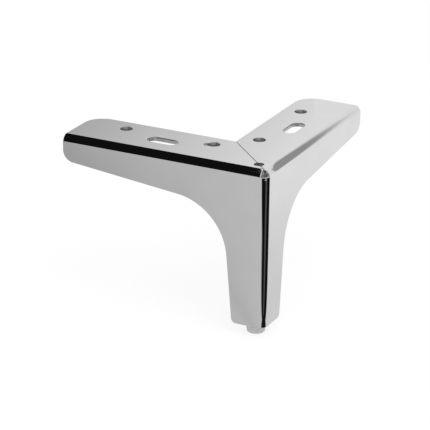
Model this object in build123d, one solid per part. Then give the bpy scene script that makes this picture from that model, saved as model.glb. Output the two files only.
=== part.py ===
from build123d import *
from math import radians, sqrt, tan
import os

# Corner leg for a cabinet, in millimetres. One chromed sheet is folded into two tapering walls and an
# L-shaped mounting flange, a plate is welded between the feet of the walls, and a moulded glide snaps
# into that plate.
# The origin is the centre of the glide's underside, on the floor. The arms run along +X and +Y, the leg
# is the same on both sides of the plane x = y, and +Z points up at the cabinet.

# Folded sheet
sheet_thickness = 2.5
inner_bend_radius = 1.1
total_height = 100.0        # floor to mounting face
arm_length = 128.8          # outer corner to the end of an arm
flange_width = 37.5         # outer face of a wall to the free edge of its flange
flange_end_round = 12.0     # free corner at the end of each flange
edge_round = 0.5            # polished rims of the outer skin, the inner ones are left sharp

# Wall outline, the same on both arms
floor_gap = 6.0             # floor to the lower edge of the walls
leg_width = 20.5            # at the lower edge
leg_taper = 5.4             # degrees that the free edge of the leg leans outwards
arm_end_depth = 15.2        # mounting face to the underside, at the end of an arm
arm_slope = 5.8             # degrees that the underside falls towards the leg
throat_round = 34.5         # curve between the underside and the leg
arm_end_round = 7.0
leg_end_round = 3.0

# Fixings in each flange
hole_diameter = 6.6
hole_spacing = 56.0
hole_end_margin = 26.8      # end of the arm to the outer hole
hole_edge_margin = 10.7     # free edge of the flange to the line of holes
slot_length = 18.6
slot_width = 7.8
slot_from_face = 18.2       # outer face of the wall to the middle of the slot
mouth_chamfer = 0.4         # buffed mouths of the holes and slots, on the mounting face
mouth_angle = 45.0          # degrees from the axis of the opening

# Mitre between the two flanges
seam_width = 0.45
relief_diameter = 5.8
relief_from_face = 9.4      # outer face of either wall to the middle of the relief hole

# Foot
foot_inset = 9.2            # outer face of either wall to the axis of the glide
plate_thickness = 2.5
plate_recess = 1.0          # lower edge of the walls to the underside of the plate
plate_corner_cut = 2.0      # clears the inside of the bend between the walls
plate_free_round = 4.0
glide_wall_gap = 0.5        # rim of the glide to the inside of the walls
glide_base_diameter = 10.0
glide_base_round = 0.8
glide_lip = 1.2             # straight rim under the plate
stem_diameter = 4.8
stem_clearance = 0.1        # all round, in the plate's hole
barb_step = 0.5             # how far the barb stands out beyond the stem
barb_height = 3.5
barb_clearance = 0.1        # plate to the shoulder of the barb
barb_split = 1.0

# Worked out from the above
outer_bend_radius = inner_bend_radius + sheet_thickness
overcut = 10.0              # how far cutting shapes reach past what they cut
touching = 0.0001
wall_bottom = floor_gap
hole_row = flange_width - hole_edge_margin
outer_hole = arm_length - hole_end_margin
inner_hole = outer_hole - hole_spacing
slot_middle = outer_hole - hole_spacing / 2
plate_bottom = wall_bottom + plate_recess
plate_top = plate_bottom + plate_thickness
plate_side = 2 * (foot_inset - sheet_thickness)
glide_rim_radius = foot_inset - sheet_thickness - glide_wall_gap
stem_radius = stem_diameter / 2

mirror_plane = Plane(origin=(0, 0, 0), x_dir=(1, 1, 0), z_dir=(1, -1, 0))
corner_to_origin = Location((-foot_inset, -foot_inset, 0))


def corner_block(offset, radius, reach, bottom, top):
    # Block with its corner at (offset, offset, top), and its three edges there rounded for the folds.
    block = Pos(offset, offset, bottom) * Box(reach, reach, top - bottom, align=(Align.MIN,) * 3)
    upright = block.edges().filter_by(Axis.Z).sort_by_distance((offset, offset, bottom))[0]
    upper = block.edges().group_by(Axis.Z)[-1].sort_by_distance((offset, offset, top))[:2]
    return fillet([upright] + upper, radius)


def rounded(outline, point, radius):
    # Rounds the corner of a flat outline that lies nearest to a point.
    corner = outline.vertices().sort_by_distance((*point, 0))[0]
    return fillet(corner, radius)


def flange_prism():
    # L-shaped plan of both flanges, as tall as the leg.
    ends = (arm_length, flange_width)
    outline = make_face(Polyline(
        (-overcut, -overcut),
        (arm_length, -overcut),
        ends,
        (flange_width, flange_width),
        ends[::-1],
        (-overcut, arm_length),
        close=True,
    ))
    outline = rounded(outline, ends, flange_end_round)
    outline = rounded(outline, ends[::-1], flange_end_round)
    return extrude(Pos(0, 0, -overcut) * outline, total_height + 2 * overcut)


def wall_prism():
    # Side view of the wall on the X arm, carried right across the leg.
    lean = tan(radians(leg_taper))
    fall = tan(radians(arm_slope))
    arm_end = (arm_length, total_height - arm_end_depth)
    leg_end = (leg_width, wall_bottom)
    rise = arm_end[1] - wall_bottom - fall * (arm_length - leg_width)
    throat_rise = rise / (1 - lean * fall)
    throat = (leg_width + lean * throat_rise, wall_bottom + throat_rise)
    outline = make_face(Polyline(
        (-overcut, wall_bottom),
        leg_end,
        throat,
        arm_end,
        (arm_length, total_height + overcut),
        (-overcut, total_height + overcut),
        close=True,
    ))
    outline = rounded(outline, throat, throat_round)
    outline = rounded(outline, arm_end, arm_end_round)
    outline = rounded(outline, leg_end, leg_end_round)
    return Pos(0, -overcut, 0) * extrude(Plane.XZ * outline, -(arm_length + 2 * overcut))


def mouthed(outline):
    # Cutter for an opening in the flange, with a chamfer where it meets the mounting face.
    through = extrude(outline, 2 * sheet_thickness, both=True)
    mouth = extrude(Pos(0, 0, -mouth_chamfer) * outline, 2 * mouth_chamfer, taper=-mouth_angle)
    return through + mouth


def flange_cuts():
    # Two screw holes and the long slot of the X arm's flange.
    hole = mouthed(Circle(hole_diameter / 2))
    slot = mouthed(SlotOverall(slot_length, slot_width))
    cuts = [Pos(place, hole_row, total_height) * hole for place in (inner_hole, outer_hole)]
    return cuts + [Pos(slot_middle, slot_from_face, total_height) * slot]


def seam_cut():
    # Slit of the mitre, from the free corner of the flange through the relief hole to the top of the ridge.
    length = sqrt(2) * (flange_width + overcut)
    depth = outer_bend_radius
    slit = Box(length, seam_width, depth + overcut, align=(Align.MIN, Align.CENTER, Align.MIN))
    return Pos(0, 0, total_height - depth) * Rot(0, 0, 45) * slit


def lies_on(shapes, point):
    return min(shape.distance_to(point) for shape in shapes) < touching


def rims(sheet, block):
    # Edges where one skin of the sheet, given by the block that shaped it, meets a cut.
    skin = block.faces()
    folds = block.edges()
    middles = [(edge, edge @ 0.5) for edge in sheet.edges()]
    return [edge for edge, middle in middles if lies_on(skin, middle) and not lies_on(folds, middle)]


def leg_sheet():
    reach = arm_length + overcut
    outer = corner_block(0, outer_bend_radius, reach, wall_bottom - overcut, total_height)
    inner = corner_block(
        sheet_thickness, inner_bend_radius, reach, wall_bottom - 2 * overcut, total_height - sheet_thickness
    )
    side = wall_prism()
    sheet = (outer - inner) & flange_prism() & side & mirror(side, about=mirror_plane)
    sheet = fillet(rims(sheet, outer), edge_round)
    arm_cuts = flange_cuts()
    relief = Pos(relief_from_face, relief_from_face, total_height) * Cylinder(
        relief_diameter / 2, 2 * sheet_thickness
    )
    sheet -= arm_cuts + [mirror(cut, about=mirror_plane) for cut in arm_cuts]
    return sheet - relief - seam_cut()


def foot_plate():
    # Square plate that fills the corner between the walls, with a hole on the axis of the glide.
    start = sheet_thickness
    end = start + plate_side
    outline = make_face(Polyline((start, start), (end, start), (end, end), (start, end), close=True))
    outline = chamfer(outline.vertices().sort_by_distance((start, start, 0))[0], plate_corner_cut)
    outline = rounded(outline, (end, end), plate_free_round)
    outline -= Pos(foot_inset, foot_inset) * Circle(stem_radius + stem_clearance)
    return extrude(Pos(0, 0, plate_bottom) * outline, plate_thickness)


def foot_glide():
    # Tapered pad with a stem and a split barb, turned about the glide's axis.
    base_radius = glide_base_diameter / 2
    shoulder = plate_top + barb_clearance
    barb_radius = stem_radius + barb_step
    tip_radius = stem_radius - barb_step
    profile = make_face(Polyline(
        (0, 0),
        (base_radius, 0),
        (glide_rim_radius, plate_bottom - glide_lip),
        (glide_rim_radius, plate_bottom),
        (stem_radius, plate_bottom),
        (stem_radius, shoulder),
        (barb_radius, shoulder),
        (tip_radius, shoulder + barb_height),
        (0, shoulder + barb_height),
        close=True,
    ))
    profile = rounded(profile, (base_radius, 0), glide_base_round)
    glide = revolve(Plane.XZ * profile, Axis.Z)
    split = Box(
        2 * barb_radius, barb_split, shoulder + barb_height, align=(Align.CENTER, Align.CENTER, Align.MIN)
    )
    glide -= Pos(0, 0, plate_top) * split
    return Pos(foot_inset, foot_inset, 0) * glide


os.makedirs("parts", exist_ok=True)
for node in (leg_sheet, foot_plate, foot_glide):
    export_step(corner_to_origin * node(), f"parts/{node.__name__}.step")
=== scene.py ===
import bmesh
import bpy
from math import cos, pi, radians, sin, tan
from mathutils import Euler, Matrix, Vector


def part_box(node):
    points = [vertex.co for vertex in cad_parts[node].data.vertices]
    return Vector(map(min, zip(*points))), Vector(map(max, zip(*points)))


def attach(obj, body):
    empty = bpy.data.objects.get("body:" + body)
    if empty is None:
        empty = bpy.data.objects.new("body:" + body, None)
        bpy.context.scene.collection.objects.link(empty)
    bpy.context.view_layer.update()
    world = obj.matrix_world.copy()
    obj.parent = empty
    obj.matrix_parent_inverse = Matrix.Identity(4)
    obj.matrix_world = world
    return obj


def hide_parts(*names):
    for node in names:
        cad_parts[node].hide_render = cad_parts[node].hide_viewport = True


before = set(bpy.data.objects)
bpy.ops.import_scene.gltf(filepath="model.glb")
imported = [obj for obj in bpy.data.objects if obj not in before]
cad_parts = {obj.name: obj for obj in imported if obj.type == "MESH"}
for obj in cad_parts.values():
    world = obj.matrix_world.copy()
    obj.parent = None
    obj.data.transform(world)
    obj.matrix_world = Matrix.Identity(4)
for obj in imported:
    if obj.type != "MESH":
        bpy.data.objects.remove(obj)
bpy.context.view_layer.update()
sheetLow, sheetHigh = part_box("leg_sheet")
plateLow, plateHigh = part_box("foot_plate")
glideLow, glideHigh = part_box("foot_glide")
outerCorner = Vector((sheetLow.x, sheetLow.y, sheetHigh.z))    # of the folded sheet, before rounding
print("frame loaded:", sorted(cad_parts))


# Modelling helpers

toolValues = {
    "weldGap": 0.000002,          # points closer than this become one
    "flatAngle": radians(0.05),   # faces that turn less than this become one
    "sliverWidth": 0.000001,      # edges shorter than this are taken out
    "onAxis": 0.0000001,          # points nearer to an axis than this lie on it
}


def deselectAll():
    bpy.ops.object.select_all(action="DESELECT")


def selectOnly(piece):
    deselectAll()
    bpy.context.view_layer.objects.active = piece
    piece.select_set(True)


def editMode(piece):
    selectOnly(piece)
    bpy.ops.object.mode_set(mode="EDIT")


def objectMode():
    bpy.ops.object.mode_set(mode="OBJECT")


def selectMesh():
    bpy.ops.mesh.select_all(action="SELECT")


def pick(piece, kind, wanted):
    # in edit mode, selects the faces, edges or points that are wanted
    bpy.ops.mesh.select_mode(type=kind)
    mesh = bmesh.from_edit_mesh(piece.data)
    for element in {"FACE": mesh.faces, "EDGE": mesh.edges, "VERT": mesh.verts}[kind]:
        element.select_set(wanted(element))
    mesh.select_flush_mode()
    bmesh.update_edit_mesh(piece.data)


def extrudeBy(step):
    bpy.ops.mesh.extrude_region_move(TRANSFORM_OT_translate={"value": step})


def closeShell():
    # merges double points, turns the faces outwards and leaves edit mode
    selectMesh()
    bpy.ops.mesh.remove_doubles(threshold=toolValues["weldGap"])
    bpy.ops.mesh.normals_make_consistent(inside=False)
    objectMode()


def applyModifier(piece, kind, **settings):
    selectOnly(piece)
    modifier = piece.modifiers.new(kind.lower(), kind)
    for name, value in settings.items():
        setattr(modifier, name, value)
    bpy.ops.object.modifier_apply(modifier=modifier.name)


def cutWith(piece, cutter, operation):
    applyModifier(piece, "BOOLEAN", operation=operation, object=cutter, solver="EXACT")
    bpy.data.objects.remove(cutter)


def blockBetween(name, low, high):
    # a cube primitive brought to size, with its place in its mesh
    deselectAll()
    bpy.ops.mesh.primitive_cube_add(size=1, location=(low + high) / 2, scale=high - low)
    bpy.context.object.name = name
    bpy.ops.object.transform_apply(location=True, rotation=True, scale=True)
    return bpy.context.object


def discFacing(place, direction, radius, sides):
    # a filled circle square to a direction, left in edit mode to be extruded
    deselectAll()
    bpy.ops.mesh.primitive_circle_add(vertices=sides, radius=radius, fill_type="NGON")
    disc = bpy.context.object
    disc.rotation_euler = direction.to_track_quat("Z", "Y").to_euler()
    disc.location = place
    bpy.ops.object.transform_apply(location=True, rotation=True, scale=True)
    editMode(disc)
    selectMesh()
    return disc


def roundedCorner(before, corner, after, radius):
    # start, end, centre, turn and axis of the arc that rounds a corner
    toBefore = (before - corner).normalized()
    toAfter = (after - corner).normalized()
    halfAngle = toBefore.angle(toAfter) / 2
    reach = radius / tan(halfAngle)
    centre = corner + (toBefore + toAfter).normalized() * radius / sin(halfAngle)
    axis = toBefore.cross(toAfter).normalized()    # spin turns clockwise about its axis
    return corner + toBefore * reach, corner + toAfter * reach, centre, pi - 2 * halfAngle, axis


def drawOutline(name, corners, arcSteps):
    # one vertex is the pen: it is extruded along straight sides and spun round the corners
    deselectAll()
    bpy.ops.mesh.primitive_plane_add()
    piece = bpy.context.object
    piece.name = name
    editMode(piece)
    bpy.ops.mesh.select_mode(type="VERT")
    selectMesh()
    bpy.ops.mesh.merge(type="CENTER")
    pen = Vector((0, 0, 0))
    for index, (corner, radius) in enumerate(corners):
        before = corners[index - 1][0]
        after = corners[(index + 1) % len(corners)][0]
        start, end = corner, corner
        if radius > 0:
            start, end, centre, turn, axis = roundedCorner(before, corner, after, radius)
        if index == 0:
            bpy.ops.transform.translate(value=start - pen)
        else:
            extrudeBy(start - pen)
        if radius > 0:
            bpy.ops.mesh.spin(steps=arcSteps, angle=turn, center=centre, axis=axis)
        pen = end
    selectMesh()
    bpy.ops.mesh.edge_face_add()
    return piece


def drawPrism(name, corners, direction, arcSteps):
    piece = drawOutline(name, corners, arcSteps)
    extrudeBy(direction)
    closeShell()
    return piece


def cleanCuts(piece):
    # welds stray points of the cuts and joins faces that lie in one plane
    editMode(piece)
    selectMesh()
    bpy.ops.mesh.remove_doubles(threshold=toolValues["weldGap"])
    bpy.ops.mesh.dissolve_limited(angle_limit=toolValues["flatAngle"])
    objectMode()


def roundRims(v, piece, width, clamp=True):
    # rounds every edge that is sharp enough to be a rim
    cleanCuts(piece)
    applyModifier(
        piece, "BEVEL", width=width, segments=v["rimSteps"], limit_method="ANGLE",
        angle_limit=v["rimAngle"], use_clamp_overlap=clamp, loop_slide=False,
    )


def dropSlivers(piece):
    # takes out faces that rounding has flattened to a line
    editMode(piece)
    selectMesh()
    bpy.ops.mesh.dissolve_degenerate(threshold=toolValues["sliverWidth"])
    objectMode()


def finishSurface(v, piece):
    # smooth over rounds and folds, dead flat between them
    selectOnly(piece)
    bpy.ops.object.shade_smooth_by_angle(angle=v["smoothAngle"])
    applyModifier(piece, "WEIGHTED_NORMAL", keep_sharp=True)


def trianglesOf(piece):
    return sum(len(face.vertices) - 2 for face in piece.data.polygons)


# Folded sheet: a skin with three rounded folds, thickened, then trimmed to its outlines

sheetValues = {
    "thickness": 0.0025,
    "outerBend": 0.0041,          # outer radius of the three folds
    "foldSteps": 18,
    "flangeWidth": 0.0375,        # outer face of a wall to the free edge of its flange
    "flangeEndRound": 0.012,
    "legWidth": 0.0205,           # at the lower edge
    "legTaper": radians(5.4),
    "armEndDepth": 0.0152,        # mounting face to the underside, at the end of an arm
    "armSlope": radians(5.8),
    "throatRound": 0.0345,
    "armEndRound": 0.007,
    "legEndRound": 0.003,
    "arcSteps": 24,
    "holeRadius": 0.00365,        # on the mounting face
    "holeTaper": 0.26,            # radius lost on the way down, as a share of the depth
    "holeRim": 0.0002,
    "holeSpacing": 0.056,
    "holeEndMargin": 0.0268,
    "holeEdgeMargin": 0.0107,
    "holeSides": 64,
    "cutterDepth": 0.01,          # of the cutters for openings, half of it above the mounting face
    "slotLength": 0.0186,
    "slotWidth": 0.0078,
    "slotFromFace": 0.0182,       # outer face of the wall to the middle of the slot
    "rimRound": 0.0005,
    "rimSteps": 4,
    "rimAngle": radians(50),      # edges sharper than this are rims
    "smoothAngle": radians(40),
    "reliefRadius": 0.0029,       # hole where the mitre meets the folds
    "reliefFromFace": 0.0094,     # outer face of either wall to its middle
    "seamWidth": 0.00045,
    "seamDepth": 0.0034,
    "grooveRadius": 0.00055,      # buffed groove that the seam runs in over the corner
    "grooveSides": 20,
    "grooveDrop": 0.0013,         # how far it goes on down the ridge
    "scoopRadius": 0.0023,        # shallow dent at the edge of one hole
    "scoopDepth": 0.0003,
    "scoopSide": radians(28),     # which way it lies, from the line of the arm towards the wall
    "paintedCornerReach": 0.0037,        # the painted dark reflection covers the corner this far along each fold
    "skinDepth": 0.0006,          # what lies deeper than this under the outer skin isn't polished
    "cutDepth": 0.00002,          # nor are the rims of the openings and the dent, down from here
    "overcut": 0.01,              # how far cutters reach past what they cut
}


def onSheet(along, across, up):
    # a place on the X arm: along the arm, in from its wall and up from the mounting face
    return outerCorner + Vector((along, across, up))


def mirrored(place):
    # the same place on the Y arm
    fromCorner = place - outerCorner
    return outerCorner + Vector((fromCorner.y, fromCorner.x, fromCorner.z))


def underSkin(v, place):
    # how deep a place lies under the outer skin of the folded sheet
    inward = place - outerCorner
    offsets = (inward.x, inward.y, -inward.z)
    bend = v["outerBend"]
    rounding = Vector([max(bend - offset, 0) for offset in offsets])
    return max(min(offsets) if rounding.length == 0 else bend - rounding.length, 0)


def foldedSkin(v):
    # three sides of a block, their edges rounded for the folds, thickened inwards
    reach = sheetHigh.x - sheetLow.x + v["overcut"]
    low = Vector((outerCorner.x, outerCorner.y, sheetLow.z - v["overcut"]))
    high = Vector((outerCorner.x + reach, outerCorner.y + reach, outerCorner.z))
    skin = blockBetween("formedLeg", low, high)
    editMode(skin)
    pick(skin, "FACE", lambda face: round(max(face.normal.x, face.normal.y, -face.normal.z)) == 1)
    bpy.ops.mesh.delete(type="FACE")
    pick(skin, "EDGE", lambda edge: len(edge.link_faces) == 2)
    bpy.ops.mesh.bevel(offset=v["outerBend"], segments=v["foldSteps"], affect="EDGES")
    objectMode()
    applyModifier(skin, "SOLIDIFY", thickness=v["thickness"], offset=-1, use_even_offset=True)
    return skin


def flangePlan(v):
    # L-shaped plan of both flanges, carried right down the sheet
    reach = sheetHigh.x - outerCorner.x
    up = v["overcut"]
    start = -v["overcut"]
    width = v["flangeWidth"]
    corners = [
        (onSheet(start, start, up), 0),
        (onSheet(reach, start, up), 0),
        (onSheet(reach, width, up), v["flangeEndRound"]),
        (onSheet(width, width, up), 0),
        (onSheet(width, reach, up), v["flangeEndRound"]),
        (onSheet(start, reach, up), 0),
    ]
    drop = sheetLow.z - sheetHigh.z - 2 * v["overcut"]
    return drawPrism("flangePlan", corners, Vector((0, 0, drop)), v["arcSteps"])


def wallSide(v, place, direction):
    # side view of a wall: leg, throat and arm, carried right across the sheet
    reach = sheetHigh.x - outerCorner.x
    bottom = sheetLow.z - sheetHigh.z
    start = -v["overcut"]
    lean = tan(v["legTaper"])
    fall = tan(v["armSlope"])
    rise = -v["armEndDepth"] - bottom - fall * (reach - v["legWidth"])
    throatRise = rise / (1 - lean * fall)
    corners = [
        (onSheet(start, start, bottom), 0),
        (onSheet(v["legWidth"], start, bottom), v["legEndRound"]),
        (onSheet(v["legWidth"] + lean * throatRise, start, bottom + throatRise), v["throatRound"]),
        (onSheet(reach, start, -v["armEndDepth"]), v["armEndRound"]),
        (onSheet(reach, start, v["overcut"]), 0),
        (onSheet(start, start, v["overcut"]), 0),
    ]
    corners = [(place(corner), radius) for corner, radius in corners]
    return drawPrism("wallSide", corners, direction * (reach + 2 * v["overcut"]), v["arcSteps"])


def openingCutter(v, place, length, width, turn=0, taper=0):
    # a drum for a round hole, its two halves drawn apart for a slot
    narrowing = taper * v["cutterDepth"] / 2
    deselectAll()
    bpy.ops.mesh.primitive_cone_add(
        vertices=v["holeSides"], radius1=width / 2 - narrowing, radius2=width / 2 + narrowing,
        depth=v["cutterDepth"],
    )
    cutter = bpy.context.object
    editMode(cutter)
    for side in (-1, 1):
        pick(cutter, "VERT", lambda vert: vert.co.x * side > toolValues["onAxis"])
        bpy.ops.transform.translate(value=(side * (length - width) / 2, 0, 0))
    objectMode()
    cutter.rotation_euler.z = turn
    cutter.location = place
    return cutter


def armOpenings(v):
    # middle, length and width of the openings of the X arm, the hole next to the corner first
    outerHole = sheetHigh.x - outerCorner.x - v["holeEndMargin"]
    row = v["flangeWidth"] - v["holeEdgeMargin"]
    hole = 2 * v["holeRadius"]
    slotMiddle = onSheet(outerHole - v["holeSpacing"] / 2, v["slotFromFace"], 0)
    return [
        (onSheet(outerHole - v["holeSpacing"], row, 0), hole, hole),
        (slotMiddle, v["slotLength"], v["slotWidth"]),
        (onSheet(outerHole, row, 0), hole, hole),
    ]


def cutOpenings(v, leg, slotted, taper):
    # the slots, or the screw holes, of both arms
    for place, length, width in armOpenings(v):
        if (length > width) == slotted:
            cutWith(leg, openingCutter(v, place, length, width, 0, taper), "DIFFERENCE")
            cutWith(leg, openingCutter(v, mirrored(place), length, width, pi / 2, taper), "DIFFERENCE")


def reliefMiddle(v):
    return onSheet(v["reliefFromFace"], v["reliefFromFace"], 0)


def beside(place, middle, length=0, width=0):
    # how far a place lies from the middle of a round hole, or the middle line of a slot along X
    inward = place - middle
    return Vector((max(abs(inward.x) - (length - width) / 2, 0), inward.y)).length


def seamCutter(v):
    # slit along the mitre, from the free corner of the flange to the top of the ridge
    length = 2 ** 0.5 * (v["flangeWidth"] + v["overcut"])
    low = Vector((0, -v["seamWidth"] / 2, -v["seamDepth"]))
    high = Vector((length, v["seamWidth"] / 2, v["overcut"]))
    cutter = blockBetween("seam", low, high)
    cutter.rotation_euler.z = pi / 4
    cutter.location = outerCorner
    return cutter


def scoopMiddle(v):
    # on the rim of the Y arm's hole next to the corner
    middle, length, width = armOpenings(v)[0]
    return mirrored(middle + Vector((cos(v["scoopSide"]), -sin(v["scoopSide"]), 0)) * width / 2)


def scoopCutter(v):
    # a shallow cone, point down, half of it above the mounting face
    deselectAll()
    bpy.ops.mesh.primitive_cone_add(
        vertices=v["holeSides"], radius1=0, radius2=2 * v["scoopRadius"], depth=2 * v["scoopDepth"],
        location=scoopMiddle(v),
    )
    return bpy.context.object


def grooveCutter(v):
    # a rod bent over the corner, from the relief hole to the top of the ridge
    ball = onSheet(v["outerBend"], v["outerBend"], -v["outerBend"])
    diagonal = Vector((1, 1, 0)).normalized()
    across = Vector((-1, 1, 0)).normalized()
    start = reliefMiddle(v)
    rod = discFacing(start, diagonal, v["grooveRadius"], v["grooveSides"])
    extrudeBy(diagonal * (ball - start).dot(diagonal))
    bpy.ops.mesh.spin(steps=v["foldSteps"], angle=pi / 2, center=ball, axis=across)
    extrudeBy(Vector((0, 0, -v["grooveDrop"])))
    closeShell()
    return rod


def formedLeg(v):
    leg = foldedSkin(v)
    cutWith(leg, flangePlan(v), "INTERSECT")
    cutWith(leg, wallSide(v, lambda place: place, Vector((0, 1, 0))), "INTERSECT")
    cutWith(leg, wallSide(v, mirrored, Vector((1, 0, 0))), "INTERSECT")
    cutOpenings(v, leg, slotted=True, taper=0)
    roundRims(v, leg, v["rimRound"], clamp=False)
    cutOpenings(v, leg, slotted=False, taper=v["holeTaper"])
    roundRims(v, leg, v["holeRim"], clamp=False)
    relief = openingCutter(v, reliefMiddle(v), 2 * v["reliefRadius"], 2 * v["reliefRadius"])
    cutWith(leg, relief, "DIFFERENCE")
    for cutter in (scoopCutter, grooveCutter, seamCutter):
        cutWith(leg, cutter(v), "DIFFERENCE")
    cleanCuts(leg)
    finishSurface(v, leg)
    print("formed leg:", trianglesOf(leg), "triangles")
    return leg


# Welded plate between the feet of the walls

plateValues = {
    "cornerCut": 0.002,           # clears the inside of the bend between the walls
    "freeRound": 0.004,
    "roundSteps": 10,
    "holeRadius": 0.0025,
    "holeSides": 48,
    "rimRound": 0.00025,
    "rimSteps": 3,
    "rimAngle": radians(50),
    "smoothAngle": radians(40),
    "beadRadius": 0.0009,         # weld along each wall
    "beadSides": 20,
    "beadInset": 0.0026,          # bead's ends, from the ends of the plate's side
    "ripples": 9,
    "rippleSwell": 1.16,          # crest to trough
    "beadTip": 0.6,               # ends of the bead, as a share of its radius
    "beadLift": 0.2,              # how far its axis stands off the wall, likewise
}


def weldedPlate(v):
    plate = blockBetween("weldedPlate", plateLow, plateHigh)
    middle = (plateLow + plateHigh) / 2
    editMode(plate)

    def uprightAt(edge, side):
        inward = [(vert.co - middle) * side for vert in edge.verts]
        return all(place.x > 0 and place.y > 0 for place in inward)

    pick(plate, "EDGE", lambda edge: uprightAt(edge, -1))
    bpy.ops.mesh.bevel(offset=v["cornerCut"], segments=1, affect="EDGES")
    pick(plate, "EDGE", lambda edge: uprightAt(edge, 1))
    bpy.ops.mesh.bevel(offset=v["freeRound"], segments=v["roundSteps"], affect="EDGES")
    objectMode()
    deselectAll()
    bpy.ops.mesh.primitive_cylinder_add(
        vertices=v["holeSides"], radius=v["holeRadius"], depth=2 * (plateHigh.z - plateLow.z),
        location=middle,
    )
    cutWith(plate, bpy.context.object, "DIFFERENCE")
    roundRims(v, plate, v["rimRound"])
    return plate


def weldBead(v, along, into):
    # a rippled bead on the plate, in the corner that it makes with a wall
    side = plateHigh.x - plateLow.x - 2 * v["beadInset"]
    lift = v["beadRadius"] * v["beadLift"]
    start = Vector((plateLow.x, plateLow.y, plateHigh.z)) + along * v["beadInset"] + into * lift
    step = along * side / (2 * v["ripples"])
    bead = discFacing(start, along, v["beadRadius"] * v["beadTip"], v["beadSides"])
    swells = [1 / v["beadTip"]] + [v["rippleSwell"], 1 / v["rippleSwell"]] * v["ripples"]
    swells[-1] = v["beadTip"]
    for index, swell in enumerate(swells, 1):
        extrudeBy(step)
        bpy.ops.transform.resize(value=(swell, swell, swell), center_override=start + step * index)
    closeShell()
    return bead


def plateWithWelds(v):
    plate = weldedPlate(v)
    forward, sideways = Vector((1, 0, 0)), Vector((0, 1, 0))
    beads = [weldBead(v, forward, sideways), weldBead(v, sideways, forward)]
    for bead in beads:
        cutWith(plate, bead, "UNION")
    finishSurface(v, plate)
    print("welded plate:", trianglesOf(plate), "triangles")
    return plate


# Moulded glide: its half section, drawn on one side of its axis and spun round it

glideValues = {
    "baseRadius": 0.005,
    "baseRound": 0.0008,
    "rimRadius": 0.0062,
    "lip": 0.0012,                # straight rim under the plate
    "stemRadius": 0.0024,
    "barbStep": 0.0005,           # how far the barb stands out beyond the stem
    "barbHeight": 0.0035,
    "barbClearance": 0.0001,      # plate to the shoulder of the barb
    "split": 0.001,               # width of the slit through the barb
    "roundSteps": 8,
    "sides": 72,
    "rimRound": 0.00018,
    "rimSteps": 3,
    "rimAngle": radians(50),
    "smoothAngle": radians(40),
}


def floorGlide(v):
    axis = (glideLow + glideHigh) / 2
    floor, shoulder = glideLow.z, plateHigh.z + v["barbClearance"]
    stem, barb = v["stemRadius"], v["stemRadius"] + v["barbStep"]
    tip = v["stemRadius"] - v["barbStep"]

    def at(radius, height):
        return Vector((axis.x + radius, axis.y, height))

    section = [
        (at(0, floor), 0),
        (at(v["baseRadius"], floor), v["baseRound"]),
        (at(v["rimRadius"], plateLow.z - v["lip"]), 0),
        (at(v["rimRadius"], plateLow.z), 0),
        (at(stem, plateLow.z), 0),
        (at(stem, shoulder), 0),
        (at(barb, shoulder), 0),
        (at(tip, shoulder + v["barbHeight"]), 0),
        (at(0, shoulder + v["barbHeight"]), 0),
    ]
    glide = drawOutline("floorGlide", section, v["roundSteps"])
    bpy.ops.mesh.delete(type="ONLY_FACE")
    onAxis = toolValues["onAxis"]
    pick(glide, "EDGE", lambda edge: all(abs(vert.co.x - axis.x) < onAxis for vert in edge.verts))
    bpy.ops.mesh.delete(type="EDGE")
    selectMesh()
    bpy.ops.mesh.spin(steps=v["sides"], angle=2 * pi, center=axis, axis=(0, 0, 1))
    closeShell()
    low = Vector((axis.x - v["rimRadius"], axis.y - v["split"] / 2, plateHigh.z))
    high = Vector((axis.x + v["rimRadius"], axis.y + v["split"] / 2, glideHigh.z + v["barbHeight"]))
    cutWith(glide, blockBetween("split", low, high), "DIFFERENCE")
    roundRims(v, glide, v["rimRound"])
    dropSlivers(glide)
    finishSurface(v, glide)
    print("floor glide:", trianglesOf(glide), "triangles")
    return glide


# Materials

def newMaterial(name):
    material = bpy.data.materials.new(name)
    material.use_nodes = True
    return material, material.node_tree


def feed(tree, socket, value):
    # a socket takes another node's output or a fixed value
    if isinstance(value, bpy.types.NodeSocket):
        tree.links.new(value, socket)
    else:
        socket.default_value = value


def ownPlace(tree):
    # coordinates of the piece itself, in metres
    return tree.nodes.new("ShaderNodeTexCoord").outputs["Object"]


def ranged(tree, value, before, after, course="LINEAR"):
    # takes a value from one range to another, and holds it at the ends
    node = tree.nodes.new("ShaderNodeMapRange")
    node.interpolation_type = course
    for name, end in zip(("From Min", "From Max", "To Min", "To Max"), (*before, *after)):
        node.inputs[name].default_value = end
    tree.links.new(value, node.inputs["Value"])
    return node.outputs["Result"]


def mixed(tree, share, first, second):
    # from the first colour to the second, as the share goes from 0 to 1
    node = tree.nodes.new("ShaderNodeMix")
    node.data_type = "RGBA"
    for name, value in (("Factor", share), ("A", first), ("B", second)):
        feed(tree, node.inputs[name], value)
    return node.outputs["Result"]


def noiseFrom(tree, scale, detail, stretch=(1, 1, 1)):
    # noise in features per metre
    mapping = tree.nodes.new("ShaderNodeMapping")
    mapping.inputs["Scale"].default_value = stretch
    tree.links.new(ownPlace(tree), mapping.inputs["Vector"])
    noise = tree.nodes.new("ShaderNodeTexNoise")
    noise.inputs["Scale"].default_value = scale
    noise.inputs["Detail"].default_value = detail
    tree.links.new(mapping.outputs["Vector"], noise.inputs["Vector"])
    return noise.outputs["Fac"]


finishValues = {
    "middle": (0.25, 0.75),    # the part of a noise that is spread over a finish
    "mottleDetail": 4,
    "grainDetail": 3,
}


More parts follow.
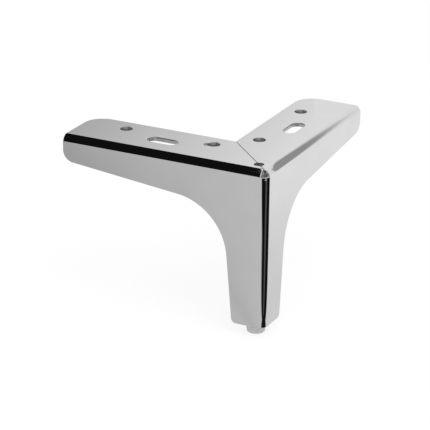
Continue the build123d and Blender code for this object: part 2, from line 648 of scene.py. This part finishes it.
def setFinish(v, tree, mottle, grain, height):
    # colour from one noise, roughness from another, and a fine relief
    middle = finishValues["middle"]
    shader = tree.nodes["Principled BSDF"]
    shader.inputs["Metallic"].default_value = v["metallic"]
    tint = mixed(tree, ranged(tree, mottle, middle, (0, 1)), v["dark"], v["light"])
    tree.links.new(tint, shader.inputs["Base Color"])
    tree.links.new(ranged(tree, grain, middle, v["rough"]), shader.inputs["Roughness"])
    bump = tree.nodes.new("ShaderNodeBump")
    bump.inputs["Strength"].default_value = v["bumpStrength"]
    bump.inputs["Distance"].default_value = v["bumpDepth"]
    tree.links.new(height, bump.inputs["Height"])
    tree.links.new(bump.outputs["Normal"], shader.inputs["Normal"])


chromeValues = {
    "metallic": 1,
    "dark": (0.695, 0.695, 0.70, 1),
    "light": (0.725, 0.725, 0.725, 1),
    "cloudScale": 60,          # broad clouding of the plate
    "cloudDetail": 3,
    "polishScale": 900,        # fine wipe and buffing marks, drawn out upwards
    "polishDetail": 4,
    "polishStretch": (1, 1, 0.06),
    "rough": (0.015, 0.035),
    "peelScale": 420,          # orange peel of the polished steel beneath
    "peelDetail": 2,
    "bumpStrength": 1,
    "bumpDepth": 0.000002,
}


def chromePlate(v):
    material, tree = newMaterial("chromePlate")
    clouds = noiseFrom(tree, v["cloudScale"], v["cloudDetail"])
    polish = noiseFrom(tree, v["polishScale"], v["polishDetail"], v["polishStretch"])
    peel = noiseFrom(tree, v["peelScale"], v["peelDetail"])
    setFinish(v, tree, clouds, polish, peel)
    return material


satinValues = {
    "metallic": 1,
    "dark": (0.54, 0.54, 0.545, 1),
    "light": (0.63, 0.63, 0.63, 1),
    "mottleScale": 350,
    "grainScale": 1600,
    "rough": (0.20, 0.32),
    "bumpStrength": 1,
    "bumpDepth": 0.000007,
}


# dull steel of the cuts, darkened as painted shade in the holes, slot rims, slit and relief hole, and
# also laid on the dent
cutEdgeShadeValues = {
    "metallic": 1,
    "dark": (0.25, 0.25, 0.25, 1),
    "light": (0.34, 0.34, 0.34, 1),
    "mottleScale": 700,
    "grainScale": 2600,
    "rough": (0.25, 0.4),
    "bumpStrength": 1,
    "bumpDepth": 0.00001,
}


# corner ball: rougher metal with a near-black to grey mottle that is painted dark reflection
cornerReflectionValues = {
    "metallic": 1,
    "dark": (0.01, 0.01, 0.01, 1),
    "light": (0.42, 0.42, 0.42, 1),
    "mottleScale": 620,
    "grainScale": 2600,
    "rough": (0.12, 0.25),
    "bumpStrength": 1,
    "bumpDepth": 0.00001,
}


plasticValues = {
    "metallic": 0,
    "dark": (0.47, 0.47, 0.47, 1),
    "light": (0.54, 0.54, 0.54, 1),
    "mottleScale": 900,
    "grainScale": 5200,
    "rough": (0.42, 0.56),
    "bumpStrength": 0.5,
    "bumpDepth": 0.00003,
}


def grainedFinish(v, name):
    # satin plate inside the leg, dull steel of the cuts darkened as painted shade, rougher corner ball
    # with painted dark reflection, and plastic
    material, tree = newMaterial(name)
    mottle = noiseFrom(tree, v["mottleScale"], finishValues["mottleDetail"])
    grain = noiseFrom(tree, v["grainScale"], finishValues["grainDetail"])
    setFinish(v, tree, mottle, grain, grain)
    return material


def dress(piece, *materials):
    piece.data.materials.clear()
    for material in materials:
        piece.data.materials.append(material)


def finishAt(v, place):
    # how the sheet is finished at a place
    depth = underSkin(v, place)
    inward = place - outerCorner
    # the corner ball takes the painted dark reflection
    if max(inward.x, inward.y, -inward.z) < v["paintedCornerReach"]:
        return "paintedCorner"
    if depth < v["cutDepth"]:
        return "polished"
    # the slit, the round holes, the slot rims and the relief hole take the cut finish, darkened as
    # painted shade; the dent takes it too
    if -inward.z < v["seamDepth"] and abs(inward.x - inward.y) < v["seamWidth"]:
        return "cut"
    for spot in (place, mirrored(place)):
        for middle, length, width in armOpenings(v):
            if beside(spot, middle, length, width) < width / 2 + v["rimRound"]:
                return "satin" if length > width and depth > v["skinDepth"] else "cut"
    if beside(place, reliefMiddle(v)) < v["reliefRadius"] + v["cutDepth"]:
        return "cut"
    if beside(place, scoopMiddle(v)) < v["scoopRadius"]:
        return "cut"
    return "satin" if depth > v["skinDepth"] else "polished"


def dressSheet(v, leg, finishes):
    # each face takes the finish of the place that it lies at
    dress(leg, *finishes.values())
    editMode(leg)
    for index, finish in enumerate(finishes):
        pick(leg, "FACE", lambda face: finishAt(v, face.calc_center_median()) == finish)
        leg.active_material_index = index
        bpy.ops.object.material_slot_assign()
    objectMode()


chrome = chromePlate(chromeValues)
satin = grainedFinish(satinValues, "satinPlate")
cutEdgeShade = grainedFinish(cutEdgeShadeValues, "cutEdgeShade")
paintedCorner = grainedFinish(cornerReflectionValues, "paintedCornerReflection")
plastic = grainedFinish(plasticValues, "glidePlastic")

leg = formedLeg(sheetValues)
dressSheet(sheetValues, leg, {"polished": chrome, "satin": satin, "cut": cutEdgeShade, "paintedCorner": paintedCorner})
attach(leg, "root")
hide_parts("leg_sheet")

plate = plateWithWelds(plateValues)
dress(plate, satin)
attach(plate, "root")
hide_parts("foot_plate")

glide = floorGlide(glideValues)
dress(glide, plastic)
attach(glide, "root")
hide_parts("foot_glide")
print("pieces made and dressed")


# Stage: floor, world, soft lamp, and cards that only reflections see

stageValues = {
    "floorSize": 8,
    "floorColour": (0.95, 0.95, 0.95, 1),
    "floorRough": 0.9,
    "floorGlow": 0.82,            # share of the floor that shows as plain white
    "worldColour": (1, 1, 1, 1),
    "ambient": 0.92,              # strength of the world as a light, it is seen at full strength
    "lampEnergy": 14,
    "lampSize": 1.6,
    "lampPlace": (-0.7, -0.9, 1.5),
}


def calculated(tree, operation, *values):
    node = tree.nodes.new("ShaderNodeMath")
    node.operation = operation
    for socket, value in zip(node.inputs, values):
        feed(tree, socket, value)
    return node.outputs["Value"]


def seenDirectly(tree):
    # 1 for camera, glossy and transmitted rays, 0 for the light that falls on things
    rays = tree.nodes.new("ShaderNodeLightPath").outputs
    opaque = calculated(tree, "MAXIMUM", rays["Is Camera Ray"], rays["Is Glossy Ray"])
    return calculated(tree, "MAXIMUM", opaque, rays["Is Transmission Ray"])


def paleFloor(v):
    deselectAll()
    bpy.ops.mesh.primitive_plane_add(size=v["floorSize"])
    floor = bpy.context.object
    floor.name = "paleFloor"
    material, tree = newMaterial("paleFloor")
    shader = tree.nodes["Principled BSDF"]
    shader.inputs["Base Color"].default_value = v["floorColour"]
    shader.inputs["Roughness"].default_value = v["floorRough"]
    shader.inputs["Specular IOR Level"].default_value = 0
    glow = tree.nodes.new("ShaderNodeEmission")
    blend = tree.nodes.new("ShaderNodeMixShader")
    share = calculated(tree, "MULTIPLY", seenDirectly(tree), v["floorGlow"])
    tree.links.new(share, blend.inputs["Fac"])
    tree.links.new(shader.outputs["BSDF"], blend.inputs[1])
    tree.links.new(glow.outputs["Emission"], blend.inputs[2])
    tree.links.new(blend.outputs["Shader"], tree.nodes["Material Output"].inputs["Surface"])
    dress(floor, material)


def whiteWorld(v):
    world = bpy.data.worlds.new("studio")
    bpy.context.scene.world = world
    world.use_nodes = True
    tree = world.node_tree
    background = tree.nodes["Background"]
    background.inputs["Color"].default_value = v["worldColour"]
    strength = ranged(tree, seenDirectly(tree), (0, 1), (v["ambient"], 1))
    tree.links.new(strength, background.inputs["Strength"])


def softLamp(v):
    data = bpy.data.lights.new("softLamp", "AREA")
    data.energy = v["lampEnergy"]
    data.size = v["lampSize"]
    lamp = bpy.data.objects.new("softLamp", data)
    lamp.location = v["lampPlace"]
    lamp.rotation_euler = (-lamp.location).to_track_quat("-Z", "Y").to_euler()
    lamp.visible_glossy = False
    bpy.context.scene.collection.objects.link(lamp)


def card(name, low, high, material):
    # a level or upright panel between two corners, seen in reflections only
    size = Vector(high) - Vector(low)
    deselectAll()
    bpy.ops.mesh.primitive_plane_add(size=1)
    panel = bpy.context.object
    panel.name = name
    panel.location = (Vector(low) + Vector(high)) / 2
    if size.x == 0:
        panel.rotation_euler.y = pi / 2
        panel.scale = (size.z, size.y, 1)
    else:
        panel.scale = (size.x, size.y, 1)
    bpy.ops.object.transform_apply(location=True, rotation=True, scale=True)
    panel.visible_camera = False
    panel.visible_diffuse = False
    panel.visible_transmission = False
    panel.visible_shadow = False
    dress(panel, material)


def glowMaterial(name):
    material, tree = newMaterial(name)
    tree.nodes.remove(tree.nodes["Principled BSDF"])
    glow = tree.nodes.new("ShaderNodeEmission")
    tree.links.new(glow.outputs["Emission"], tree.nodes["Material Output"].inputs["Surface"])
    return material, tree, glow


def evenStep(tree, value, start, end):
    # 0 before start, 1 after end
    return ranged(tree, value, (start, end), (0, 1))


def softStep(tree, value, start, end):
    # the same, with soft ends
    return ranged(tree, value, (start, end), (0, 1), "SMOOTHSTEP")


def vectorNode(tree, operation, first, second):
    node = tree.nodes.new("ShaderNodeVectorMath")
    node.operation = operation
    tree.links.new(first, node.inputs[0])
    node.inputs[1].default_value = second
    return node


def distanceFrom(tree, centre):
    return vectorNode(tree, "DISTANCE", ownPlace(tree), centre).outputs["Value"]


def runAlong(tree, direction):
    return vectorNode(tree, "DOT_PRODUCT", ownPlace(tree), direction).outputs["Value"]


def setLevel(tree, glow, share, first, second):
    # brightness of a card, from first to second as the share goes from 0 to 1
    tree.links.new(ranged(tree, share, (0, 1), (first, second)), glow.inputs["Strength"])


floorFanValues = {
    "lift": 0.0004,               # over the floor
    "reach": 1.2,
    "front": radians(243.6),      # direction on the floor that the middle of the ridge mirrors
    "apex": 0.004,                # how far in front of the ridge's axis the rings' centre lies
    "ringEnds": (0.06, 0.28),     # the near ring ends and the far ring begins
    "nearRing": [                 # degrees from the front, level
        (-178, 0.8), (-140, 0.6), (-111, 0.63), (-103, 0.585), (-96, 0.635), (-90, 0.665), (0, 0.665),
        (80, 0.8), (178, 0.8),
    ],
    "farRing": [
        (-178, 0.95), (-140, 0.5), (-112, 0.47), (-108, 0.545), (-103, 0.6), (-91, 0.672), (0, 0.672),
        (80, 0.955), (178, 0.955),
    ],
    "sectorApex": 0.02,           # how far in front of the ridge's axis the dark sector starts
    "sector": [                   # degrees from the front, level, cover
        (-59, 0.006, 0), (-38, 0.006, 1), (-6, 0.006, 1), (5, 0.088, 1), (21, 0.088, 1), (32, 0.006, 1),
        (86, 0.006, 1), (92, 0.006, 0),
    ],
    "sectorFront": (0.118, 0.128),    # from here on it is dark right across
    "sectorEnd": (0.29, 0.27),    # and light again from here
    "spotAhead": 0.022,           # shade under the foot, which the lowest part of the ridge mirrors
    "spotAside": 0.004,
    "spotRadius": (0.016, 0.011),
    "spotColour": (0.01, 0.01, 0.01, 1),
}


def fanFrom(tree, apex, front):
    # turn about a point of the floor, 0.5 in front of it, 0 and 1 behind
    mapping = tree.nodes.new("ShaderNodeMapping")
    mapping.vector_type = "TEXTURE"
    mapping.inputs["Location"].default_value = (apex.x, apex.y, 0)
    mapping.inputs["Rotation"].default_value = (0, 0, front)
    tree.links.new(ownPlace(tree), mapping.inputs["Vector"])
    fan = tree.nodes.new("ShaderNodeTexGradient")
    fan.gradient_type = "RADIAL"
    tree.links.new(mapping.outputs["Vector"], fan.inputs["Vector"])
    return fan.outputs["Fac"]


def rampOver(tree, fan, stops):
    # levels of grey round a fan, with their cover where it is given
    front = 0.5    # of the fan
    ramp = tree.nodes.new("ShaderNodeValToRGB")
    marks = ramp.color_ramp.elements
    while len(marks) < len(stops):
        marks.new(front)
    for mark, (angle, level, *cover) in zip(marks, stops):
        mark.position = front + angle / 360
        mark.color = (level, level, level, *(cover or [1]))
    tree.links.new(fan, ramp.inputs["Fac"])
    return ramp.outputs


def floorFan(v, bend):
    # floor as the chrome sees it: grey on the left, dark in front, white on the right
    material, tree, glow = glowMaterial("floorFan")
    ahead = Vector((cos(v["front"]), sin(v["front"]), 0))
    aside = Vector((-ahead.y, ahead.x, 0))
    ridge = Vector((outerCorner.x + bend, outerCorner.y + bend, v["lift"]))
    centre = ridge + ahead * v["apex"]
    fan = fanFrom(tree, centre, v["front"])
    ring = softStep(tree, distanceFrom(tree, centre), *v["ringEnds"])
    nearRing = rampOver(tree, fan, v["nearRing"])
    farRing = rampOver(tree, fan, v["farRing"])
    floor = mixed(tree, ring, nearRing["Color"], farRing["Color"])
    sectorFan = fanFrom(tree, ridge + ahead * v["sectorApex"], v["front"])
    sector = rampOver(tree, sectorFan, v["sector"])
    fromRidge = [ridge.dot(ahead) + distance for distance in v["sectorFront"]]
    across = softStep(tree, runAlong(tree, ahead), *fromRidge)
    cover = calculated(tree, "MAXIMUM", sector["Alpha"], across)
    within = softStep(tree, distanceFrom(tree, ridge), *v["sectorEnd"])
    floor = mixed(tree, calculated(tree, "MULTIPLY", cover, within), floor, sector["Color"])
    spot = ridge + ahead * v["spotAhead"] + aside * v["spotAside"]
    shade = softStep(tree, distanceFrom(tree, spot), *v["spotRadius"])
    tree.links.new(mixed(tree, shade, floor, v["spotColour"]), glow.inputs["Color"])
    half = v["reach"] / 2
    card("floorFan", (-half, -half, v["lift"]), (half, half, v["lift"]), material)


flagValues = {
    "dark": 0.006,
    "light": 0.95,
    "leftLow": (-0.31, 0.05, 0.03),
    "leftHigh": (-0.31, 0.7, 0.7),
    "topLow": (-0.31, 0.05, 0.7),
    "topHigh": (1.2, 1.5, 0.7),
    "nearSlope": 0.436,           # how fast what an end of the left fold mirrors moves aside
    "nearEnd": (-0.0091, -0.0081),
    "noseRun": (-0.33, 0.45),     # the near end of the dark band narrows from below
    "noseCut": 0.0034,
    "farSlope": 0.538,
    "farEnd": (0.14, 0.125),
}


def darkFlags(v, bend):
    # panels on the left and above, black only where the left fold mirrors them
    material, tree, glow = glowMaterial("foldFlag")
    flat = vectorNode(tree, "MULTIPLY", ownPlace(tree), (1, 0, 1)).outputs["Vector"]
    foldAxis = (outerCorner.x + bend, 0, outerCorner.z - bend)
    away = vectorNode(tree, "DISTANCE", flat, foldAxis).outputs["Value"]
    aside = runAlong(tree, (0, 1, 0))
    nose = evenStep(tree, runAlong(tree, (1, 0, 0)), *v["noseRun"])
    nearGap = calculated(tree, "MULTIPLY_ADD", away, -v["nearSlope"], aside)
    nearGap = calculated(tree, "MULTIPLY_ADD", nose, -v["noseCut"], nearGap)
    farGap = calculated(tree, "MULTIPLY_ADD", away, -v["farSlope"], aside)
    near = evenStep(tree, nearGap, *v["nearEnd"])
    far = evenStep(tree, farGap, *v["farEnd"])
    setLevel(tree, glow, calculated(tree, "MULTIPLY", near, far), v["light"], v["dark"])
    card("leftFlag", v["leftLow"], v["leftHigh"], material)
    card("ceilingFlag", v["topLow"], v["topHigh"], material)


rightFlagValues = {
    "low": (0.5, -0.8, 0),
    "high": (0.5, 0.19, 0.75),
    "lightCentre": (0.5, 0.101, 0.0148),
    "lightReach": (0.346, 0.404),         # light inside, grey outside
    "endCentre": (0.5, -0.0131, 0.101),
    "endReach": (0.3048, 0.3034),         # light again outside, where the fold runs into the corner
    "fadeSide": (0.19, 0.11),
    "light": 0.93,
    "grey": 0.36,
}


def rightFlag(v):
    # grey panel past the end of the right arm, which the fold of that arm mirrors
    material, tree, glow = glowMaterial("rightFlag")
    inside = softStep(tree, distanceFrom(tree, v["lightCentre"]), *v["lightReach"])
    end = softStep(tree, distanceFrom(tree, v["endCentre"]), *v["endReach"])
    side = softStep(tree, runAlong(tree, (0, 1, 0)), *v["fadeSide"])
    share = calculated(tree, "MULTIPLY", calculated(tree, "MULTIPLY", inside, end), side)
    setLevel(tree, glow, share, v["light"], v["grey"])
    card("rightFlag", v["low"], v["high"], material)


backCardValues = {
    "low": (1.35, -0.2, 0),
    "high": (1.35, 1.6, 1.2),
    "slant": (0, -1.1, 1),        # the fade runs this way over the card
    "fade": (-0.016, -0.3246),
    "light": 0.95,
    "grey": 0.534,
}


def backCard(v):
    # backdrop as the flanges mirror it, a little darker towards the left arm
    material, tree, glow = glowMaterial("backCard")
    share = evenStep(tree, runAlong(tree, v["slant"]), *v["fade"])
    setLevel(tree, glow, share, v["light"], v["grey"])
    card("backCard", v["low"], v["high"], material)


paleFloor(stageValues)
whiteWorld(stageValues)
softLamp(stageValues)
floorFan(floorFanValues, sheetValues["outerBend"])
darkFlags(flagValues, sheetValues["outerBend"])
rightFlag(rightFlagValues)
backCard(backCardValues)
print("stage set")


# Camera, at the photograph's angle

cameraValues = {
    "lens": 205.54,
    "clipEnd": 20,
    "fromCorner": (-1.13994, -0.53356, 0.46623),    # outer corner of the sheet to the camera
    "elevation": radians(21.339),
    "azimuth": radians(-63.636),
    "roll": radians(0.726),
}


def photoCamera(v):
    data = bpy.data.cameras.new("photoCamera")
    data.lens = v["lens"]
    data.clip_end = v["clipEnd"]
    camera = bpy.data.objects.new("photoCamera", data)
    bpy.context.scene.collection.objects.link(camera)
    place = Matrix.Translation(outerCorner + Vector(v["fromCorner"]))
    aim = Euler((pi / 2 - v["elevation"], 0, v["azimuth"])).to_matrix().to_4x4()
    camera.matrix_world = place @ aim @ Matrix.Rotation(v["roll"], 4, "Z")
    bpy.context.scene.camera = camera


photoCamera(cameraValues)
bpy.context.scene.view_settings.view_transform = "Standard"
